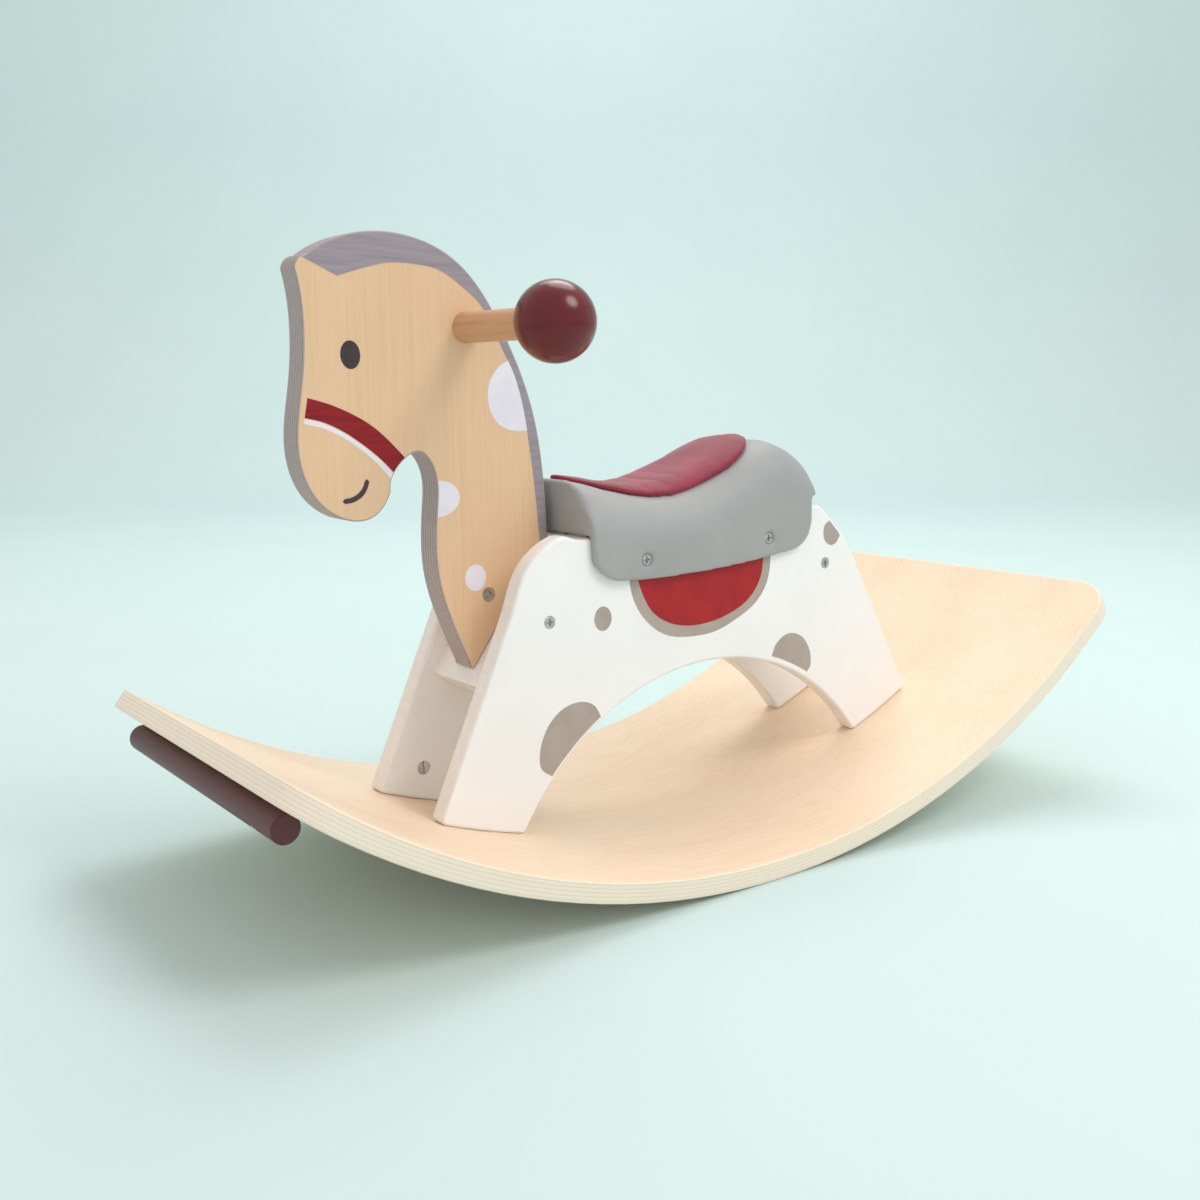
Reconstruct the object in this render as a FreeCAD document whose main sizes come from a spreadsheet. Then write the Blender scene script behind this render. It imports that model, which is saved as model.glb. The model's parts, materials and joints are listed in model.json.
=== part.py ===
import FreeCAD, Part
import math
import os

import Sketcher

# A child's rocking horse: two painted side panels with legs, a plywood head, a moulded saddle with a
# red pad and a ball-ended handle, bolted to a bent plywood rocker board.
#
# Everything is drawn with the board's arc symmetric about X = 0 and its underside touching Z = 0.
# +X is where the head points, +Y is the horse's left, +Z is up. The arc's centre is straight above
# the origin, and each finished piece is then turned about it by rest_lean, because the loaded front
# makes the horse stand a little nose down. The origin stays the point that touches the floor.

V = FreeCAD.Vector

SIZES = [
    # rocker board
    ("rocker_radius", 568, "underside of the board, about the arc's centre"),
    ("board_thickness", 14, "bent plywood"),
    ("board_width", 325, "side to side"),
    ("rock_half_arc", 40.2, "degrees from the middle of the board to either end"),
    ("board_corner", 30, "radius of the four corners in plan"),
    ("board_edge_round", 1.5, "eased edges all round"),
    ("rest_lean", 3.1, "degrees nose down at rest"),
    # stopper under the front end
    ("stopper_diameter", 18, "round bar"),
    ("stopper_length", 240, "across the board"),
    ("stopper_setback", 22, "from the board's front end, along the arc"),
    ("stopper_screw_spread", 180, "between the two screws"),
    # side panels
    ("panel_gap", 72, "between the two panels"),
    ("panel_thickness", 15, "painted board"),
    ("panel_edge_round", 2.5, "rounded edges of the panels"),
    ("foot_corner", 4, "rounded ends of the feet, seen from the side"),
    ("body_centre", -4, "X of the middle of the legs"),
    ("foot_reach", 232, "from the middle of the legs to the outer edge of a foot, at foot_level"),
    ("foot_level", 50, "height at which foot_reach is measured"),
    ("leg_lean", 26.5, "degrees that the outer edge of a leg leans in from upright"),
    ("arch_radius", 192, "opening between the front and rear legs"),
    ("arch_top", 127, "height of the opening's crown"),
    ("deck_level", 232, "top of the panels and cross boards under the saddle"),
    # cross boards between the panels
    ("cross_board_thickness", 18, ""),
    ("front_board_slope", 51.1, "degrees from level, its top end rearmost"),
    ("front_board_top", 98, "X of its front top edge"),
    ("front_board_bottom", 139, "height of its front bottom edge"),
    ("rear_board_slope", 61.7, "degrees from level, its top end foremost"),
    ("rear_board_centre", -136, "X of its middle"),
    ("rear_board_level", 183, "height of its middle"),
    ("rear_board_drop", 40, "from its middle down its slope to the bottom end"),
    # head and handle
    ("head_thickness", 21, "plywood"),
    ("head_edge_round", 1, ""),
    ("neck_back", 99, "X of the back of the neck where it meets the front cross board"),
    ("head_nut_depth", 19, "from the cross board's face to the cross nut"),
    ("handle_forward", 154, "X of the handle"),
    ("handle_level", 377, "height of the handle"),
    ("handle_diameter", 20, "dowel"),
    ("handle_length", 246, "tip to tip of the dowel"),
    ("knob_diameter", 50, "ball"),
    ("knob_spacing", 227, "between the two balls' centres"),
    # seat board
    ("seat_board_thickness", 10, "plywood"),
    ("seat_board_bearing", 5, "how far it rests on each panel's top edge"),
    ("seat_board_back", -124, "X of its rear edge"),
    ("seat_board_round", 3, "eased edge"),
    # saddle shell
    ("saddle_wall", 4, "moulded wall"),
    ("saddle_side_gap", 2, "between a panel and the inside of a flap"),
    ("saddle_front", 92, "X of the front wall's outside"),
    ("saddle_shoulder", 35, "radius from the seat into a flap"),
    ("saddle_pommel", 272, "height of the seat at the front wall"),
    ("saddle_dip", 255, "lowest height of the seat"),
    ("saddle_cantle", 283, "highest point, at the rear"),
    ("saddle_tail_start", -110, "X where the rear starts to round in"),
    ("saddle_tail", 45, "length of the rounded rear"),
    ("flap_bottom", 195.5, "lowest point of a flap"),
    ("flap_corner", 25, "rounded lower corners of a flap"),
    ("rear_rim", 237, "height of the rear wall's lower edge"),
    ("front_rim", 233, "height of the front wall's lower edge"),
    ("pad_rise", 5, "pad above the shell"),
    ("pad_half_width", 40, "widest part of the pad"),
    ("pad_front", 86, "X of the pad's front tip"),
    ("pad_rear", -84, "X of the pad's rear"),
    # fasteners
    ("fit_gap", 0.1, "radial gap round a dowel, screw or bolt"),
    ("wood_dowel_diameter", 8, "locating dowels"),
    ("wood_dowel_length", 30, ""),
    ("bolt_diameter", 6, "machine bolts"),
    ("bolt_head_diameter", 10.5, ""),
    ("bolt_head_height", 3.4, ""),
    ("washer_diameter", 14, ""),
    ("washer_thickness", 1.2, ""),
    ("leg_nut_rise", 23, "from the board's top to the cross nut in a foot"),
    ("nut_diameter", 10, "cross nuts"),
    ("screw_diameter", 4.5, "countersunk wood screws"),
    ("screw_head_diameter", 9, ""),
    ("cross_screw_length", 40, ""),
    ("saddle_screw_length", 16, "pan head screws through the flaps"),
    ("saddle_screw_level", 211.5, ""),
    ("saddle_screw_front", 46, "X"),
    ("saddle_screw_rear", -72, "X"),
    ("screw_recess_diameter", 9.5, "mouth in a flap for a screw head"),
    ("stopper_screw_length", 24, ""),
    ("deck_screw_length", 30, ""),
]

document = FreeCAD.newDocument("RockingHorse")
sheet = document.addObject("Spreadsheet::Sheet", "Sizes")
for row, (alias, number, note) in enumerate(SIZES, start=1):
    sheet.set(f"A{row}", alias)
    sheet.set(f"B{row}", str(number))
    sheet.set(f"C{row}", note)
    sheet.setAlias(f"B{row}", alias)
document.recompute()


def size(alias):
    return float(getattr(sheet, alias))


# ---------------------------------------------------------------- derived places

R = size("rocker_radius")
BOARD_TOP = R - size("board_thickness")
HALF_GAP = size("panel_gap") / 2
PANEL_FACE = HALF_GAP + size("panel_thickness")
PANEL_MIDDLE = HALF_GAP + size("panel_thickness") / 2
FLAP_FACE = PANEL_FACE + size("saddle_side_gap") + size("saddle_wall")
DECK = size("deck_level")
EXTRA = 40  # how far cutting tools and trimmed outlines run past the solid
pieces = {}  # finished pieces by label


def on_circle(radius, degrees):
    """Point in the XZ plane at an angle from straight below the arc's centre."""
    angle = math.radians(degrees)
    return V(radius * math.sin(angle), 0, R - radius * math.cos(angle))


def outward(degrees):
    """Direction away from the arc's centre at that angle."""
    angle = math.radians(degrees)
    return V(math.sin(angle), 0, -math.cos(angle))


def shifted(point, y):
    return V(point.x, y, point.z)


def at_height(point, slope, z):
    """Where the line through point along slope reaches height z."""
    return point + slope * ((z - point.z) / slope.z)


def flat(point):
    """Sketch coordinates of a point in the XZ plane."""
    return (point.x, point.z)


# ---------------------------------------------------------------- document helpers


def bind(thing, **cells):
    """Tie properties of an object to formulas over the sheet."""
    for name, formula in cells.items():
        thing.setExpression(name, formula)
    return thing


def settle(thing, label):
    """Name a finished piece and turn it about the arc's centre into the resting pose."""
    thing.Label = label
    centre = V(0, 0, R)
    thing.Placement = FreeCAD.Placement(V(), FreeCAD.Rotation(V(0, 1, 0), size("rest_lean")), centre)
    thing.setExpression("Placement.Rotation.Angle", "Sizes.rest_lean")
    thing.setExpression("Placement.Base.x", "-Sizes.rocker_radius * sin(Sizes.rest_lean)")
    thing.setExpression("Placement.Base.z", "Sizes.rocker_radius * (1 - cos(Sizes.rest_lean))")
    pieces[label] = thing
    return thing


def new_sketch(body, name, role="XZ_Plane"):
    sketch = body.newObject("Sketcher::SketchObject", name)
    plane = [feature for feature in body.Origin.OriginFeatures if feature.Role == role][0]
    sketch.AttachmentSupport = [(plane, "")]
    sketch.MapMode = "FlatFace"
    return sketch


def draw(sketch, start, *steps):
    """Closed outline from start, last step back to start.

    Steps are ("line", end), ("arc", middle, end), ("curve", point, ..., end), and ("blend", point, ..., end),
    a curve that runs smoothly into the straight lines before and after it.
    """
    at = start
    for n, (kind, *points) in enumerate(steps):
        through = [V(x, y, 0) for x, y in [at, *points]]
        if kind == "line":
            shape = Part.LineSegment(*through)
        elif kind == "arc":
            shape = Part.Arc(*through)
        elif kind == "curve":
            shape = Part.BSplineCurve()
            shape.interpolate(through)
        else:
            before = start if n == 1 else steps[n - 2][-1]
            after = steps[n + 1][1]
            shape = Part.BSplineCurve()
            shape.interpolate(
                Points=through,
                InitialTangent=through[0] - V(*before, 0),
                FinalTangent=V(*after, 0) - through[-1],
            )
        sketch.addConstraint(Sketcher.Constraint("Block", sketch.addGeometry(shape, False)))
        at = points[-1]
    return sketch


def draw_circle(sketch, x, z, radius):
    """Circle whose centre and radius are formulas over the sheet."""
    circle = sketch.addGeometry(Part.Circle(V(1, 1, 0), V(0, 0, 1), 10), False)
    centre = 3
    for kind, formula in (("DistanceX", x), ("DistanceY", z)):
        row = sketch.addConstraint(Sketcher.Constraint(kind, -1, 1, circle, centre, 1.0))
        sketch.setExpression(f"Constraints[{row}]", formula)
    row = sketch.addConstraint(Sketcher.Constraint("Radius", circle, 10.0))
    sketch.setExpression(f"Constraints[{row}]", radius)
    return sketch


def pad(body, sketch, length):
    """Extrude a sketch evenly to both sides, by a formula."""
    feature = body.newObject("PartDesign::Pad", body.Name + "_pad")
    feature.Profile = sketch
    feature.SideType = "Symmetric"
    return bind(feature, Length=length)


def pocket(body, sketch):
    """Cut a sketch right through, both ways."""
    feature = body.newObject("PartDesign::Pocket", body.Name + "_pocket")
    feature.Profile = sketch
    feature.SideType = "Symmetric"
    feature.Type = "Length"
    feature.Length = 1000
    feature.recompute(True)
    assert feature.Shape.Volume < feature.BaseFeature.Shape.Volume - 1, f"{feature.Name} cut nothing"
    return feature


def round_edges(body, base, wanted, radius):
    """Fillet the edges of base for which wanted(edge) is true; radius is a formula."""
    base.recompute(True)
    names = [f"Edge{n}" for n, edge in enumerate(base.Shape.Edges, start=1) if wanted(edge)]
    feature = body.newObject("PartDesign::Fillet", body.Name + "_round")
    feature.Base = (base, names)
    return bind(feature, Radius=radius)


def on_faces(thickness):
    """Test for edges that lie on either face of a board pulled out to both sides of Y = 0."""
    half = size(thickness) / 2
    return lambda edge: abs(abs(edge.CenterOfMass.y) - half) < 1e-3


def combine(kind, name, things):
    """Part::MultiFuse, Part::MultiCommon or Part::Compound of several objects."""
    result = document.addObject(kind, name)
    setattr(result, "Links" if kind == "Part::Compound" else "Shapes", things)
    return result


def cut(name, base, tools):
    result = document.addObject("Part::Cut", name)
    result.Base = base
    result.Tool = tools[0] if len(tools) == 1 else combine("Part::MultiFuse", name + "_tools", tools)
    return result


def along(point, direction):
    """Placement that puts a primitive's origin at point and its Z axis along direction."""
    return FreeCAD.Placement(point, FreeCAD.Rotation(V(0, 0, 1), direction))


def cylinder(name, point, direction, radius, height):
    thing = document.addObject("Part::Cylinder", name)
    thing.Placement = along(point, direction)
    return bind(thing, Radius=radius, Height=height)


def cone(name, point, direction, mouth, foot, height):
    thing = document.addObject("Part::Cone", name)
    thing.Placement = along(point, direction)
    return bind(thing, Radius1=mouth, Radius2=foot, Height=height)


def box(name, corner, far_corner):
    thing = document.addObject("Part::Box", name)
    thing.Placement.Base = corner
    thing.Length, thing.Width, thing.Height = far_corner - corner
    return thing


# ---------------------------------------------------------------- fasteners

GAP = "Sizes.fit_gap"
NO_GAP = "0"
HALF_SCREW = "Sizes.screw_diameter / 2"
HALF_HEAD = "Sizes.screw_head_diameter / 2"
HEAD_DEPTH = "(Sizes.screw_head_diameter - Sizes.screw_diameter) / 2"
BOLT_HOLE = "Sizes.bolt_diameter / 2 + Sizes.fit_gap"
WASHER_SEAT = "Sizes.washer_diameter / 2 + 0.3"
NUT_HOLE = "Sizes.nut_diameter / 2 + Sizes.fit_gap"
HANDLE_HOLE = "Sizes.handle_diameter / 2 + Sizes.fit_gap"
STOPPER_LENGTH = "Sizes.stopper_screw_length"
CROSS_LENGTH = "Sizes.cross_screw_length"
DECK_LENGTH = "Sizes.deck_screw_length"
SADDLE_LENGTH = "Sizes.saddle_screw_length"
CROSS_WIDTH = 1.0  # blades of the driver recess
CROSS_SPAN = 0.55  # its width across, as a share of the head
CROSS_DEPTH = 1.6
TIP = 4  # tapered point of a wood screw
TIP_END = 0.4  # radius left at the point
PAN_RISE = 2.4  # height of a pan head
PAN_TRIM = 0.6  # a pan head's radius is this much under a countersunk head's


def cross_recess(name, point, direction):
    """Two crossed slots in a screw head."""
    span = CROSS_SPAN * size("screw_head_diameter")
    slots = []
    for turn in (0, 90):
        slot = document.addObject("Part::Box", name + f"_slot{turn}")
        slot.Length, slot.Width, slot.Height = span, CROSS_WIDTH, CROSS_DEPTH + 1
        lay = FreeCAD.Placement(V(-span / 2, -CROSS_WIDTH / 2, -1), FreeCAD.Rotation())
        spin = FreeCAD.Placement(V(), FreeCAD.Rotation(V(0, 0, 1), turn))
        slot.Placement = along(point, direction) * spin * lay
        slots.append(slot)
    return slots


def shank_end(shank):
    shank.recompute()
    return shank.Placement.multVec(V(0, 0, shank.Height.Value))


def screw_tip(name, end, direction, gap):
    return cone(name + "_tip", end, direction, f"{HALF_SCREW} + {gap}", f"{TIP_END} + {gap}", str(TIP))


def countersunk(name, point, direction, length, gap=NO_GAP):
    """Countersunk wood screw with its head at point, going along direction; gap grows it into a hole."""
    parts = [
        cone(name + "_head", point, direction, f"{HALF_HEAD} + {gap}", f"{HALF_SCREW} + {gap}", HEAD_DEPTH),
        cylinder(name + "_shank", point, direction, f"{HALF_SCREW} + {gap}", f"{length} - {TIP} + {gap}"),
    ]
    end = shank_end(parts[-1])
    parts.append(screw_tip(name, end, direction, gap))
    return combine("Part::MultiFuse", name + "_blank", parts)


def pan_head(name, point, direction, length, gap=NO_GAP):
    """Pan head wood screw, point being where its head bears; with a gap, the hole for its shank."""
    top = point - direction * PAN_RISE
    shank = cylinder(name + "_shank", point, direction, f"{HALF_SCREW} + {gap}", f"{length} - {TIP} + {gap}")
    parts = [shank, screw_tip(name, shank_end(shank), direction, gap)]
    if gap == NO_GAP:
        parts.append(cylinder(name + "_disc", top, direction, f"{HALF_HEAD} - {PAN_TRIM}", str(PAN_RISE)))
    return combine("Part::MultiFuse", name + "_blank", parts), top


def fastener_set(label, places, make):
    """Group of identical screws in one node, each with a cross recess."""
    screws = []
    for n, (point, direction) in enumerate(places, start=1):
        name = f"{label}_{n}"
        made = make(name, point, direction)
        blank, top = made if isinstance(made, tuple) else (made, point)
        screws.append(cut(name, blank, cross_recess(name, top, direction)))
    return settle(combine("Part::Compound", label + "_group", screws), label)


# ---------------------------------------------------------------- rocker board

BOARD_ENDS = size("rock_half_arc")
FOOT_INSET = 34  # from a foot's outer edge at foot_level to its bolt, along X
SCREW_SINK = 3  # how deep a screw head sits in the stopper
STOPPER_CHAMFER = 1.0
BOLT_HEAD_SINK = 0.6  # how far a bolt head stays above the underside of the board
FOOT_X = [size("body_centre") + side * (size("foot_reach") - FOOT_INSET) for side in (1, -1)]
FOOT_ANGLES = [math.degrees(math.asin(x / BOARD_TOP)) for x in FOOT_X]
LEG_JOINTS = [(angle, y) for angle in FOOT_ANGLES for y in (PANEL_MIDDLE, -PANEL_MIDDLE)]
HEAD_SEAT = size("bolt_head_height") + size("washer_thickness") + BOLT_HEAD_SINK  # counterbore depth
STOPPER_ANGLE = BOARD_ENDS - math.degrees(size("stopper_setback") / R)
STOPPER_CENTRE = on_circle(R + size("stopper_diameter") / 2, STOPPER_ANGLE)
STOPPER_FACE = on_circle(R + size("stopper_diameter") - SCREW_SINK, STOPPER_ANGLE)
STOPPER_SCREWS = [
    (shifted(STOPPER_FACE, side * size("stopper_screw_spread") / 2), outward(STOPPER_ANGLE) * -1)
    for side in (1, -1)
]


def rocker_board():
    body = document.addObject("PartDesign::Body", "board_blank")
    outer = [flat(on_circle(R, angle)) for angle in (-BOARD_ENDS, 0, BOARD_ENDS)]
    inner = [flat(on_circle(BOARD_TOP, angle)) for angle in (BOARD_ENDS, 0, -BOARD_ENDS)]
    sketch = draw(
        new_sketch(body, "board_arc"),
        outer[0],
        ("arc", outer[1], outer[2]),
        ("line", inner[0]),
        ("arc", inner[1], inner[2]),
        ("line", outer[0]),
    )
    sheet_of_wood = pad(body, sketch, "Sizes.board_width")
    through_thickness = size("board_thickness") + 1

    def at_corner(edge):
        lengthwise = abs(edge.Vertexes[0].Point.y - edge.Vertexes[-1].Point.y) < 1e-3
        return lengthwise and edge.Length < through_thickness

    corners = round_edges(body, sheet_of_wood, at_corner, "Sizes.board_corner")
    round_edges(body, corners, lambda edge: edge.Length > through_thickness, "Sizes.board_edge_round")
    holes = []
    for n, (angle, y) in enumerate(LEG_JOINTS, start=1):
        below = shifted(on_circle(R + EXTRA, angle), y)
        up = outward(angle) * -1
        holes.append(cylinder(f"leg_hole_{n}", below, up, BOLT_HOLE, str(2 * EXTRA)))
        holes.append(cylinder(f"leg_seat_{n}", below, up, WASHER_SEAT, str(EXTRA + HEAD_SEAT)))
    for n, (point, direction) in enumerate(STOPPER_SCREWS, start=1):
        holes.append(pan_head(f"stopper_pilot_{n}", point, direction, STOPPER_LENGTH, GAP)[0])
    return settle(cut("board_drilled", body, holes), "rocker_board")


def stopper_bar():
    end = shifted(STOPPER_CENTRE, size("stopper_length") / 2)
    bar = cylinder("stopper_rod", end, V(0, -1, 0), "Sizes.stopper_diameter / 2", "Sizes.stopper_length")
    bar.recompute()
    eased = document.addObject("Part::Chamfer", "stopper_eased")
    eased.Base = bar
    eased.Edges = [
        (n, STOPPER_CHAMFER, STOPPER_CHAMFER)
        for n, edge in enumerate(bar.Shape.Edges, start=1)
        if len(edge.Vertexes) == 1
    ]
    holes = []
    for n, (point, direction) in enumerate(STOPPER_SCREWS, start=1):
        holes.append(pan_head(f"stopper_clear_{n}", point, direction, STOPPER_LENGTH, GAP)[0])
        below = point - direction * EXTRA
        holes.append(cylinder(f"stopper_mouth_{n}", below, direction, HALF_HEAD, str(EXTRA)))
    settle(cut("stopper_drilled", eased, holes), "stopper_bar")
    fastener_set("stopper_screws", STOPPER_SCREWS, lambda *at: pan_head(*at, STOPPER_LENGTH))


# ---------------------------------------------------------------- cross boards

FRONT_SLOPE = math.radians(size("front_board_slope"))
FRONT_DOWN = V(math.cos(FRONT_SLOPE), 0, -math.sin(FRONT_SLOPE))
FRONT_NORMAL = V(math.sin(FRONT_SLOPE), 0, math.cos(FRONT_SLOPE))
FRONT_TOP = V(size("front_board_top"), 0, DECK)
FRONT_LENGTH = (DECK - size("front_board_bottom")) / math.sin(FRONT_SLOPE)
REAR_SLOPE = math.radians(size("rear_board_slope"))
REAR_UP = V(math.cos(REAR_SLOPE), 0, math.sin(REAR_SLOPE))
REAR_NORMAL = V(-math.sin(REAR_SLOPE), 0, math.cos(REAR_SLOPE))
REAR_MIDDLE = V(size("rear_board_centre"), 0, size("rear_board_level"))
HALF_BOARD = size("cross_board_thickness") / 2
FRONT_MIDDLE = FRONT_TOP + FRONT_DOWN * (FRONT_LENGTH / 2) - FRONT_NORMAL * HALF_BOARD

CROSS_SCREWS = [
    (shifted(middle, side * PANEL_FACE), V(0, -side, 0))
    for middle in (FRONT_MIDDLE, REAR_MIDDLE)
    for side in (1, -1)
]
FRONT_DOWEL_INSET = 18  # from the front board's ends to its dowels
REAR_DOWEL_INSET = 14
CROSS_DOWELS = [
    (middle + direction * offset, side)
    for middle, direction, reach in (
        (FRONT_MIDDLE, FRONT_DOWN, FRONT_LENGTH / 2 - FRONT_DOWEL_INSET),
        (REAR_MIDDLE, REAR_UP, size("rear_board_drop") - REAR_DOWEL_INSET),
    )
    for offset in (-reach, reach)
    for side in (1, -1)
]
HALF_DOWEL = "Sizes.wood_dowel_diameter / 2"
DOWEL_LENGTH = "Sizes.wood_dowel_length"
DOWEL_IN_PANEL = 10  # how deep a cross board's dowel sits in the panel
HEAD_DOWEL_IN_BOARD = 13
SOCKET_SPARE = 0.5  # how much deeper than its dowel each end of a socket is
BOARD_END_ROUND = "0.8"  # eased long edges of the cross boards
HEAD_DOWELS = [FRONT_TOP + FRONT_DOWN * (FRONT_LENGTH * share) for share in (0.2, 0.74)]
HEAD_BOLT_FOOT = FRONT_TOP + FRONT_DOWN * (FRONT_LENGTH / 2)
HEAD_NUT = HEAD_BOLT_FOOT + FRONT_NORMAL * size("head_nut_depth")
HEAD_SEAT_DEPTH = 4  # counterbore for the head bolt in the back of the front board
HEAD_BOLT_SEAT = HEAD_BOLT_FOOT - FRONT_NORMAL * (size("cross_board_thickness") - HEAD_SEAT_DEPTH)
DECK_TOP = DECK + size("seat_board_thickness")
DECK_SCREW_OFFSET = 18  # either side of the middle
DECK_SCREWS = [
    (shifted(at_height(middle, slope, DECK_TOP), side * DECK_SCREW_OFFSET), slope * -1)
    for middle, slope in ((FRONT_MIDDLE, FRONT_DOWN * -1), (REAR_MIDDLE, REAR_UP))
    for side in (1, -1)
]


def cross_dowel(name, middle, side, gap):
    """Dowel that joins an end of a cross board to the panel at that side."""
    spare = 0 if gap == NO_GAP else SOCKET_SPARE
    start = shifted(middle, side * (HALF_GAP + DOWEL_IN_PANEL + spare))
    return cylinder(name, start, V(0, -side, 0), f"{HALF_DOWEL} + {gap}", f"{DOWEL_LENGTH} + {2 * spare}")


def head_dowel(name, middle, gap):
    """Dowel across the joint between the front cross board and the head, half in each."""
    spare = 0 if gap == NO_GAP else SOCKET_SPARE
    start = middle - FRONT_NORMAL * (HEAD_DOWEL_IN_BOARD + spare)
    return cylinder(name, start, FRONT_NORMAL, f"{HALF_DOWEL} + {gap}", f"{DOWEL_LENGTH} + {2 * spare}")


def cross_board(label, points):
    body = document.addObject("PartDesign::Body", label + "_blank")
    corners = [flat(point) for point in points]
    lines = [("line", corner) for corner in corners]
    blank = pad(body, draw(new_sketch(body, label + "_section"), corners[-1], *lines), "Sizes.panel_gap")
    round_edges(body, blank, lambda edge: abs(edge.Length - size("panel_gap")) < 1e-3, BOARD_END_ROUND)
    return body


def board_section(middle, up, out, drop):
    """Side view of a sloping board: square at its lower end, level with the deck at its top."""
    faces = [middle + out * HALF_BOARD, middle - out * HALF_BOARD]
    lower = [face - up * drop for face in faces]
    upper = [at_height(face, up, DECK) for face in faces]
    return [upper[0], lower[0], lower[1], upper[1]]


def cross_boards():
    front = board_section(FRONT_MIDDLE, FRONT_DOWN * -1, FRONT_NORMAL, FRONT_LENGTH / 2)
    rear = board_section(REAR_MIDDLE, REAR_UP, REAR_NORMAL, size("rear_board_drop"))
    tools = {"front_cross_board": [], "rear_cross_board": []}
    for n, (point, direction) in enumerate(CROSS_SCREWS, start=1):
        label = "front_cross_board" if n <= 2 else "rear_cross_board"
        tools[label].append(countersunk(f"cross_pilot_{n}", point, direction, CROSS_LENGTH, GAP))
    for n, (middle, side) in enumerate(CROSS_DOWELS, start=1):
        label = "front_cross_board" if n <= 4 else "rear_cross_board"
        tools[label].append(cross_dowel(f"cross_socket_{n}", middle, side, GAP))
    for n, middle in enumerate(HEAD_DOWELS, start=1):
        tools["front_cross_board"].append(head_dowel(f"head_socket_{n}", middle, GAP))
    tools["front_cross_board"] += head_bolt_hole("board_bolt")
    for n, (point, direction) in enumerate(DECK_SCREWS, start=1):
        label = "front_cross_board" if n <= 2 else "rear_cross_board"
        tools[label].append(countersunk(f"deck_pilot_{n}", point, direction, DECK_LENGTH, GAP))
    for label, points in (("front_cross_board", front), ("rear_cross_board", rear)):
        settle(cut(label + "_drilled", cross_board(label, points), tools[label]), label)


def head_bolt_hole(name):
    back = HEAD_BOLT_SEAT - FRONT_NORMAL * EXTRA
    return [
        cylinder(name + "_hole", back, FRONT_NORMAL, BOLT_HOLE, str(EXTRA * 2)),
        cylinder(name + "_seat", back, FRONT_NORMAL, WASHER_SEAT, str(EXTRA)),
    ]


# ---------------------------------------------------------------- side panels

SHOULDER_START = 46  # below the deck, where a leg's straight outer edge starts to bend in
SHOULDER_RISE = 4  # how far the front shoulder rises above the deck
NUT_END_WALL = 2  # wood left between a cross nut's hole and the panel's outer face
LEG_BOLT_BEYOND = 8  # how far a bolt goes past the middle of its cross nut
SADDLE_SCREW_GAP = 1.5  # from a panel's outer face to the seat of a screw in a flap
SCREW_SEAT = PANEL_FACE + SADDLE_SCREW_GAP
SADDLE_SCREWS = [
    (V(size(x), side * SCREW_SEAT, size("saddle_screw_level")), V(0, -side, 0))
    for x in ("saddle_screw_front", "saddle_screw_rear")
    for side in (1, -1)
]


def side_panels():
    lean = math.tan(math.radians(size("leg_lean")))
    centre = size("body_centre")

    def edge_of_leg(side, z):
        return (centre + side * (size("foot_reach") - (z - size("foot_level")) * lean), z)

    bend = DECK - SHOULDER_START
    deck_front = size("saddle_front") + 3
    for side, name in ((1, "left"), (-1, "right")):
        body = document.addObject("PartDesign::Body", name + "_panel_blank")
        outline = draw(
            new_sketch(body, name + "_panel_outline"),
            edge_of_leg(1, -EXTRA),
            ("line", edge_of_leg(1, bend)),
            (
                "blend", (centre + 151, DECK - 17), (centre + 133, DECK - 1),
                (centre + 115, DECK + SHOULDER_RISE), (deck_front, DECK),
            ),
            ("line", (centre - 108, DECK)),
            ("blend", (centre - 127, DECK - 3), (centre - 143, DECK - 18), edge_of_leg(-1, bend)),
            ("line", edge_of_leg(-1, -EXTRA)),
            ("line", edge_of_leg(1, -EXTRA)),
        )
        blank = pad(body, outline, "Sizes.panel_thickness")
        arch = new_sketch(body, name + "_arch")
        arch_centre = "Sizes.arch_top - Sizes.arch_radius"
        pocket(body, draw_circle(arch, "Sizes.body_centre", arch_centre, "Sizes.arch_radius"))
        trim = new_sketch(body, name + "_foot_trim")
        draw_circle(trim, "0", "Sizes.rocker_radius", "Sizes.rocker_radius - Sizes.board_thickness")
        draw_circle(trim, "0", "Sizes.rocker_radius", "Sizes.rocker_radius * 1.5")
        trimmed = pocket(body, trim)

        def foot_corner(edge):
            middle = edge.CenterOfMass
            return abs(middle.y) < 1e-3 and middle.z < bend / 2 and edge.BoundBox.YLength > 1

        corners = round_edges(body, trimmed, foot_corner, "Sizes.foot_corner")
        round_edges(body, corners, on_faces("panel_thickness"), "Sizes.panel_edge_round")
        slab = combine("Part::Compound", name + "_slab", [body])
        slab.Placement.Base.y = side * PANEL_MIDDLE
        settle(cut(name + "_panel_drilled", slab, panel_holes(name, side)), f"{name}_side_panel")


def panel_holes(name, side):
    holes = []
    for n, (point, direction) in enumerate(CROSS_SCREWS, start=1):
        if point.y * side > 0:
            holes.append(countersunk(f"{name}_cross_hole_{n}", point, direction, CROSS_LENGTH, GAP))
    for n, (middle, dowel_side) in enumerate(CROSS_DOWELS, start=1):
        if dowel_side == side:
            holes.append(cross_dowel(f"{name}_cross_socket_{n}", middle, side, GAP))
    for n, (point, direction) in enumerate(SADDLE_SCREWS, start=1):
        if point.y * side > 0:
            holes.append(pan_head(f"{name}_saddle_pilot_{n}", point, direction, SADDLE_LENGTH, GAP)[0])
    for n, (angle, y) in enumerate(LEG_JOINTS, start=1):
        if y * side > 0:
            holes += leg_joint_holes(f"{name}_{n}", angle, y, side)
    return holes


def leg_nut_place(angle, y):
    return shifted(on_circle(BOARD_TOP - size("leg_nut_rise"), angle), y)


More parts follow.
